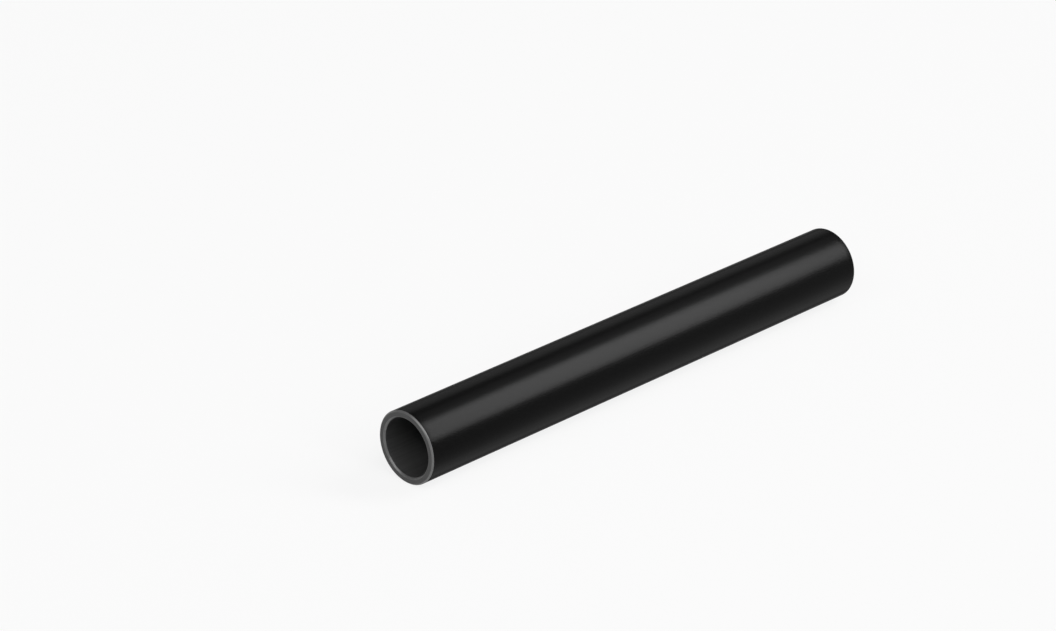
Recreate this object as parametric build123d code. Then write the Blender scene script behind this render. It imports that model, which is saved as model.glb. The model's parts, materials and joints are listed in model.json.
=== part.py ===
from build123d import *
import os

# A short cut length of rigid plastic tube, in millimetres.
# It lies along X with its lowest line on Z = 0, and the origin is under its middle.

# Driving dimensions of the stock
OUTER_DIAMETER = 15.0
WALL = 1.5

# Driving dimensions of the cut piece
LENGTH = 120.0
OUTER_CHAMFER = 0.25
INNER_CHAMFER = 0.3

# Sizes worked out from them
outer_radius = OUTER_DIAMETER / 2
bore_radius = outer_radius - WALL


def make_section():
    """The ring that the wall shows across the tube, drawn at the end on the low X side."""
    end_plane = Plane(origin=(-LENGTH / 2, 0, outer_radius), z_dir=(1, 0, 0))
    return end_plane * (Circle(outer_radius) - Circle(bore_radius))


def round_edges(body):
    """The body's round edges in groups of one radius each, with the bore's edges first."""
    return body.edges().filter_by(GeomType.CIRCLE).group_by(SortBy.RADIUS)


def make_tube():
    """The ring drawn out to the cut length, with both edges of both ends broken."""
    tube = extrude(make_section(), LENGTH)
    tube = chamfer(round_edges(tube)[-1], OUTER_CHAMFER)
    return chamfer(round_edges(tube)[0], INNER_CHAMFER)


os.makedirs("parts", exist_ok=True)
export_step(make_tube(), "parts/tube.step")
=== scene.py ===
import bmesh
import bpy
import json
import math
from mathutils import Matrix, Vector


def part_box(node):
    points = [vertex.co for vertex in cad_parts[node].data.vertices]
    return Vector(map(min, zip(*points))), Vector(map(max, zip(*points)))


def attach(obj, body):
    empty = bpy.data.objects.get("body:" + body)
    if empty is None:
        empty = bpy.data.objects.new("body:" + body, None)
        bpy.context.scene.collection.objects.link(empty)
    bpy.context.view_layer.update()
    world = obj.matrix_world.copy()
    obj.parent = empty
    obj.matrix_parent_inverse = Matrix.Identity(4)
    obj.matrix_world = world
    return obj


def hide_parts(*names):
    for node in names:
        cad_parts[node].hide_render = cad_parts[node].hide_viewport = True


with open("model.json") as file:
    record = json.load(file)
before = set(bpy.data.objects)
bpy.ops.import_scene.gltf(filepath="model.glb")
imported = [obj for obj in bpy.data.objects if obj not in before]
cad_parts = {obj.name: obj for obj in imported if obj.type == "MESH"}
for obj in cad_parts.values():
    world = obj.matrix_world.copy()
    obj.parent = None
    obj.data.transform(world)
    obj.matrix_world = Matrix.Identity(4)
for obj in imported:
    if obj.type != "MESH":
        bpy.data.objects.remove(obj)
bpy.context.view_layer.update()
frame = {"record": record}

MM = 0.001

# The tube's sizes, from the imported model
low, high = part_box("tube")
mounts = {mount["name"]: mount for mount in frame["record"]["mounts"]}
LENGTH = high.x - low.x
RADIUS = min(high.y - low.y, high.z - low.z) / 2
MIDDLE = (low + high) / 2
BORE_RADIUS = mounts["bore"]["dims"]["r_mm"] * MM
OUTER_CHAMFER = (LENGTH - mounts["outside_low_x"]["dims"]["length_mm"] * MM) / 2
INNER_CHAMFER = (LENGTH - mounts["bore"]["dims"]["length_mm"] * MM) / 2

# How finely the tube's skin is drawn, and how far its cut edges are worn round
AROUND = 256
ALONG = 96
WEAR_STEPS = 5
WALL_EDGE_WEAR = 0.06 * MM
FACE_EDGE_WEAR = 0.05 * MM

# How fine each surface pattern is along X, Y and Z, in cells of noise to the metre
DIE_LINES = (12, 2600, 2600)
SKIN_GRAIN = (2600, 2600, 2600)
SAWN_GRAIN = (3500, 3500, 3500)
SAW_MARKS = (300, 900, 9000)
SCRAPE_GRAIN = (900, 1800, 1800)

# The values between which most of a noise pattern lies
NOISE_LOW = 0.3
NOISE_HIGH = 0.7

# Where a matt skin's gloss begins and ends to fall as it turns from view, with 0 for face on and
# 1 for edge on, and the share of the gloss that is left
GLOSS_FALL_START = 0.50
GLOSS_FALL_END = 0.74
GLOSS_LEFT = 0.05

# The stage
FLOOR_RADIUS = 2.0
SWEEP_RADIUS = 0.35
SWEEP_STEPS = 12
WALL_HEIGHT = 0.36
STAGE_AROUND = 96
JOIN_WITHIN = 0.01 * MM
FLOOR_GREY = 0.48
WHITE_SHARE = 0.85
AMBIENT = 0.15
LIGHT_DISTANCE = 3.0

# The photograph's view, fitted to the tube's outlines in it
VIEW_AZIMUTH = -44.30
VIEW_ELEVATION = 25.57
VIEW_DISTANCE = 0.7295
VIEW_TARGET = Vector((-0.00306, 0.02535, 0.0075))
LENS = 122.48
SENSOR_WIDTH = 36.0
NEAREST_SEEN = 0.01


def link(obj):
    """Adds an object to the scene."""
    bpy.context.scene.collection.objects.link(obj)
    return obj


def grey(level):
    """A grey as Blender's colours are given, with red, green, blue and alpha."""
    return (level, level, level, 1)


# The tube's skin


def worn_corner(before, corner, after, wear):
    """The points of a round corner whose ends lie wear away from the sharp one."""
    start = corner + (before - corner).normalized() * wear
    end = corner + (after - corner).normalized() * wear
    points = []
    for step in range(WEAR_STEPS + 1):
        along = step / WEAR_STEPS
        back = 1 - along
        points.append(start * back ** 2 + corner * 2 * along * back + end * along ** 2)
    return points


def end_profile():
    """The wall's section at one end, from the outside to the bore: its points, as distance from
    the end and distance from the axis, and the kind of surface between each and the next."""
    corners = [
        Vector((LENGTH / 2, RADIUS)),
        Vector((OUTER_CHAMFER, RADIUS)),
        Vector((0, RADIUS - OUTER_CHAMFER)),
        Vector((0, BORE_RADIUS + INNER_CHAMFER)),
        Vector((INNER_CHAMFER, BORE_RADIUS)),
        Vector((LENGTH / 2, BORE_RADIUS)),
    ]
    wears = [WALL_EDGE_WEAR, FACE_EDGE_WEAR, FACE_EDGE_WEAR, WALL_EDGE_WEAR]
    kinds_after = ["edge", "cut", "edge", "bore"]
    points, kinds = [], []
    for place, (wear, kind_after) in enumerate(zip(wears, kinds_after), start=1):
        points += worn_corner(*corners[place - 1:place + 2], wear)
        kinds += ["edge"] * WEAR_STEPS + [kind_after]
    return points, kinds[:-1]


def straight_run(first, last, radius, kind):
    """The points along the wall or the bore between two places, without the two themselves."""
    shares = [step / ALONG for step in range(1, ALONG)]
    return [(first + (last - first) * share, radius, kind) for share in shares]


def wall_profile():
    """The wall's whole section as a closed loop of (x, radius, kind of surface up to the next)."""
    points, kinds = end_profile()
    outside, inside = points[0].x, points[-1].x
    low_end = [(point.x, point.y, kind) for point, kind in zip(points, kinds + ["bore"])]
    high_end = [(LENGTH - point.x, point.y, kind)
                for point, kind in zip(points[::-1], kinds[::-1] + ["wall"])]
    return (straight_run(LENGTH - outside, outside, RADIUS, "wall") + low_end
            + straight_run(inside, LENGTH - inside, BORE_RADIUS, "bore") + high_end)


def make_ring(bm, x, radius):
    """A ring of points about the tube's axis, x away from its low end."""
    ring = []
    for step in range(AROUND):
        turn = 2 * math.pi * step / AROUND
        place = Vector((low.x + x, radius * math.cos(turn), radius * math.sin(turn)))
        ring.append(bm.verts.new(place + Vector((0, MIDDLE.y, MIDDLE.z))))
    return ring


def make_skin(materials):
    """The tube's surface, turned about its axis, with a material slot for each kind of surface."""
    slots = list(materials)
    loop = wall_profile()
    bm = bmesh.new()
    rings = [make_ring(bm, x, radius) for x, radius, _ in loop]
    for here, there, (_, _, kind) in zip(rings, rings[1:] + rings[:1], loop):
        for step in range(AROUND):
            beside = (step + 1) % AROUND
            face = bm.faces.new((here[step], here[beside], there[beside], there[step]))
            face.material_index = slots.index(kind)
            face.smooth = True
    bmesh.ops.recalc_face_normals(bm, faces=bm.faces)
    mesh = bpy.data.meshes.new("tube_skin")
    bm.to_mesh(mesh)
    bm.free()
    for material in materials.values():
        mesh.materials.append(material)
    return link(bpy.data.objects.new("tube_skin", mesh))


# Materials


class Shader:
    """A new material's nodes, with short calls that add and join them."""

    def __init__(self, name):
        self.material = bpy.data.materials.new(name)
        self.material.use_nodes = True
        self.nodes = self.material.node_tree.nodes
        self.links = self.material.node_tree.links
        self.surface = self.nodes["Principled BSDF"]

    def node(self, kind, **values):
        """A new node of that kind, with its own settings."""
        made = self.nodes.new(kind)
        for name, value in values.items():
            setattr(made, name, value)
        return made

    def feed(self, node, name, source):
        """Gives a node's input, by its name or number, an output to join to or a value to hold."""
        socket = node.inputs[name]
        if isinstance(source, bpy.types.NodeSocket):
            self.links.new(source, socket)
        else:
            socket.default_value = source

    def noise(self, fineness, detail, rough=0.55):
        """A noise pattern in the object's own space, as fine along each axis as fineness says."""
        scaled = self.node("ShaderNodeVectorMath", operation="MULTIPLY")
        self.feed(scaled, 0, self.node("ShaderNodeTexCoord").outputs["Object"])
        self.feed(scaled, 1, fineness)
        made = self.node("ShaderNodeTexNoise")
        self.feed(made, "Vector", scaled.outputs[0])
        self.feed(made, "Scale", 1.0)
        self.feed(made, "Detail", detail)
        self.feed(made, "Roughness", rough)
        return made.outputs["Fac"]

    def spread(self, value, from_low, from_high, to_low, to_high):
        """A number that goes from to_low to to_high while value goes from from_low to from_high."""
        made = self.node("ShaderNodeMapRange")
        self.feed(made, "Value", value)
        self.feed(made, "From Min", from_low)
        self.feed(made, "From Max", from_high)
        self.feed(made, "To Min", to_low)
        self.feed(made, "To Max", to_high)
        return made.outputs["Result"]

    def mottle(self, pattern, dark, pale, smooth, rough):
        """Gives the surface a grey and a roughness that follow a noise pattern."""
        colour = self.node("ShaderNodeMix", data_type="RGBA")
        self.feed(colour, "Factor", self.spread(pattern, NOISE_LOW, NOISE_HIGH, 0, 1))
        self.feed(colour, "A", grey(dark))
        self.feed(colour, "B", grey(pale))
        roughness = self.spread(pattern, NOISE_LOW, NOISE_HIGH, smooth, rough)
        self.feed(self.surface, "Base Color", colour.outputs["Result"])
        self.feed(self.surface, "Roughness", roughness)

    def relief(self, *layers):
        """Gives the surface a relief of one or more layers, each a pattern and its depth."""
        normal = None
        for pattern, depth in layers:
            made = self.node("ShaderNodeBump")
            self.feed(made, "Height", pattern)
            self.feed(made, "Distance", depth)
            self.feed(made, "Strength", 1.0)
            if normal is not None:
                self.feed(made, "Normal", normal)
            normal = made.outputs["Normal"]
        self.feed(self.surface, "Normal", normal)

    def gloss(self, level):
        """Sets how strongly the surface reflects, by a level or by an output that gives one."""
        self.feed(self.surface, "Specular IOR Level", level)

    def matt_gloss(self, level):
        """Gives the surface a gloss that falls away where it turns from view, as on a matt skin.
        The level is also set on the input itself, for an export that leaves out what is joined."""
        self.gloss(level)
        facing = self.node("ShaderNodeLayerWeight").outputs["Facing"]
        self.gloss(self.spread(facing, GLOSS_FALL_START, GLOSS_FALL_END,
                               level, GLOSS_LEFT * level))


def wall_material():
    """Drawn black plastic: satin, with fine lengthwise die lines that spread its gloss out round
    the tube."""
    shader = Shader("black_plastic_wall")
    lines = shader.noise(DIE_LINES, detail=3.0, rough=0.6)
    grain = shader.noise(SKIN_GRAIN, detail=2.0)
    shader.mottle(grain, dark=0.0003, pale=0.001, smooth=0.22, rough=0.27)
    shader.relief((lines, 0.008 * MM), (grain, 0.005 * MM))
    shader.matt_gloss(0.055)
    shader.feed(shader.surface, "Anisotropic", 0.7)
    around = shader.node("ShaderNodeTangent", direction_type="RADIAL", axis="X")
    shader.feed(shader.surface, "Tangent", around.outputs["Tangent"])
    return shader.material


def bore_material():
    """The inside of the same plastic, duller than the outside, and with a much paler grey that is
    painted light inside the bore.
    """
    shader = Shader("black_plastic_bore_painted_light")
    lines = shader.noise(DIE_LINES, detail=3.0, rough=0.6)
    # The bore's grey, far paler than the wall's, is painted light: it stands in for the light that
    # reaches inside the bore.
    shader.mottle(lines, dark=0.030, pale=0.038, smooth=0.42, rough=0.5)
    shader.relief((lines, 0.004 * MM))
    shader.gloss(0.15)
    return shader.material


def cut_material():
    """Sawn plastic, paler than the drawn skin, with fine marks of the blade."""
    shader = Shader("black_plastic_cut")
    grain = shader.noise(SAWN_GRAIN, detail=3.0)
    marks = shader.noise(SAW_MARKS, detail=2.0)
    shader.mottle(grain, dark=0.054, pale=0.072, smooth=0.45, rough=0.6)
    shader.relief((marks, 0.006 * MM), (grain, 0.003 * MM))
    shader.gloss(0.15)
    return shader.material


def edge_material():
    """The scraped edges of the ends, smoother and glossier than the sawn face."""
    shader = Shader("black_plastic_edge")
    grain = shader.noise(SCRAPE_GRAIN, detail=3.0)
    shader.mottle(grain, dark=0.062, pale=0.082, smooth=0.30, rough=0.38)
    shader.relief((grain, 0.003 * MM))
    shader.matt_gloss(0.75)
    return shader.material


def stage_material():
    """A pale matt floor that shows near white to the camera, in reflections and through glass."""
    shader = Shader("pale_stage")
    shader.nodes.remove(shader.surface)
    rays = shader.node("ShaderNodeLightPath")
    seen = rays.outputs["Is Camera Ray"]
    for name in ("Is Glossy Ray", "Is Transmission Ray"):
        either = shader.node("ShaderNodeMath", operation="MAXIMUM")
        shader.feed(either, 0, seen)
        shader.feed(either, 1, rays.outputs[name])
        seen = either.outputs[0]
    share = shader.node("ShaderNodeMath", operation="MULTIPLY")
    shader.feed(share, 0, seen)
    shader.feed(share, 1, WHITE_SHARE)
    matt = shader.node("ShaderNodeBsdfDiffuse")
    shader.feed(matt, "Color", grey(FLOOR_GREY))
    mix = shader.node("ShaderNodeMixShader")
    shader.feed(mix, "Fac", share.outputs[0])
    shader.feed(mix, 1, matt.outputs[0])
    shader.feed(mix, 2, shader.node("ShaderNodeEmission").outputs[0])
    shader.feed(shader.nodes["Material Output"], "Surface", mix.outputs[0])
    return shader.material


# The stage: floor, light and camera


def stage_profile():
    """The stage's section from its centre outwards, as distance from the centre and height."""
    profile = [(0.0, 0.0), (FLOOR_RADIUS, 0.0)]
    for step in range(1, SWEEP_STEPS + 1):
        turn = math.pi / 2 * step / SWEEP_STEPS
        profile.append((FLOOR_RADIUS + SWEEP_RADIUS * math.sin(turn),
                        SWEEP_RADIUS * (1 - math.cos(turn))))
    profile.append((FLOOR_RADIUS + SWEEP_RADIUS, WALL_HEIGHT))
    return profile


def make_stage():
    """A round floor that sweeps up into a low wall all round."""
    bm = bmesh.new()
    points = [bm.verts.new((x, 0, z)) for x, z in stage_profile()]
    edges = [bm.edges.new(pair) for pair in zip(points, points[1:])]
    bmesh.ops.spin(bm, geom=points + edges, cent=(0, 0, 0), axis=(0, 0, 1),
                   angle=2 * math.pi, steps=STAGE_AROUND, use_merge=True)
    bmesh.ops.remove_doubles(bm, verts=bm.verts, dist=JOIN_WITHIN)
    bmesh.ops.recalc_face_normals(bm, faces=bm.faces)
    for face in bm.faces:
        face.smooth = True
    mesh = bpy.data.meshes.new("stage_sweep")
    bm.to_mesh(mesh)
    bm.free()
    mesh.materials.append(stage_material())
    sweep = link(bpy.data.objects.new("stage_sweep", mesh))


def soft_light(name, towards, along, across, radiance):
    """A soft box in that direction from the part, turned to face it, that shines with that
    radiance. It is along metres long on the side nearest to X, and across metres wide."""
    lamp = bpy.data.lights.new(name, "AREA")
    lamp.shape = "RECTANGLE"
    lamp.size = along
    lamp.size_y = across
    lamp.energy = math.pi * along * across * radiance
    light = link(bpy.data.objects.new(name, lamp))
    facing = towards.normalized()
    side = (Vector((1, 0, 0)) - facing * facing.x).normalized()
    turn = Matrix((side, facing.cross(side), facing)).transposed()
    light.matrix_world = Matrix.Translation(MIDDLE + facing * LIGHT_DISTANCE) @ turn.to_4x4()
    light.visible_camera = False


def make_lights():
    """Six soft boxes round the part, and a faint even light from all sides."""
    soft_light("key_light", Vector((0.64, -0.47, 0.61)), along=0.76, across=2.5, radiance=13.4)
    soft_light("front_light", Vector((-0.29, -0.55, 0.78)), along=2.7, across=1.6, radiance=5.3)
    soft_light("side_light", Vector((0.0, -0.91, 0.41)), along=0.65, across=1.5, radiance=11.2)
    soft_light("end_light", Vector((-0.72, -0.10, 0.68)), along=0.95, across=2.4, radiance=3.6)
    soft_light("top_light", Vector((0.63, 0.15, 0.76)), along=0.8, across=1.0, radiance=0.9)
    soft_light("back_light", Vector((0.62, 0.67, 0.40)), along=0.9, across=1.3, radiance=0.65)
    world = bpy.data.worlds.new("studio")
    world.use_nodes = True
    background = world.node_tree.nodes["Background"]
    background.inputs["Color"].default_value = grey(1)
    background.inputs["Strength"].default_value = AMBIENT
    bpy.context.scene.world = world


def direction(azimuth, elevation):
    """The unit vector from the part towards a place seen at that azimuth and elevation."""
    turn, rise = math.radians(azimuth), math.radians(elevation)
    return Vector((math.sin(turn) * math.cos(rise), -math.cos(turn) * math.cos(rise),
                   math.sin(rise)))


def make_camera():
    """The camera at the photograph's place, with its angle of view."""
    camera = link(bpy.data.objects.new("camera", bpy.data.cameras.new("camera")))
    camera.data.lens = LENS
    camera.data.sensor_width = SENSOR_WIDTH
    camera.data.clip_start = NEAREST_SEEN
    back = direction(VIEW_AZIMUTH, VIEW_ELEVATION)
    camera.location = VIEW_TARGET + back * VIEW_DISTANCE
    camera.rotation_euler = back.to_track_quat("Z", "Y").to_euler()
    bpy.context.scene.camera = camera


skin = make_skin({"wall": wall_material(), "cut": cut_material(), "edge": edge_material(),
                  "bore": bore_material()})
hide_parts("tube")
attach(skin, "root")
make_stage()
make_lights()
make_camera()
bpy.context.scene.view_settings.view_transform = "Standard"
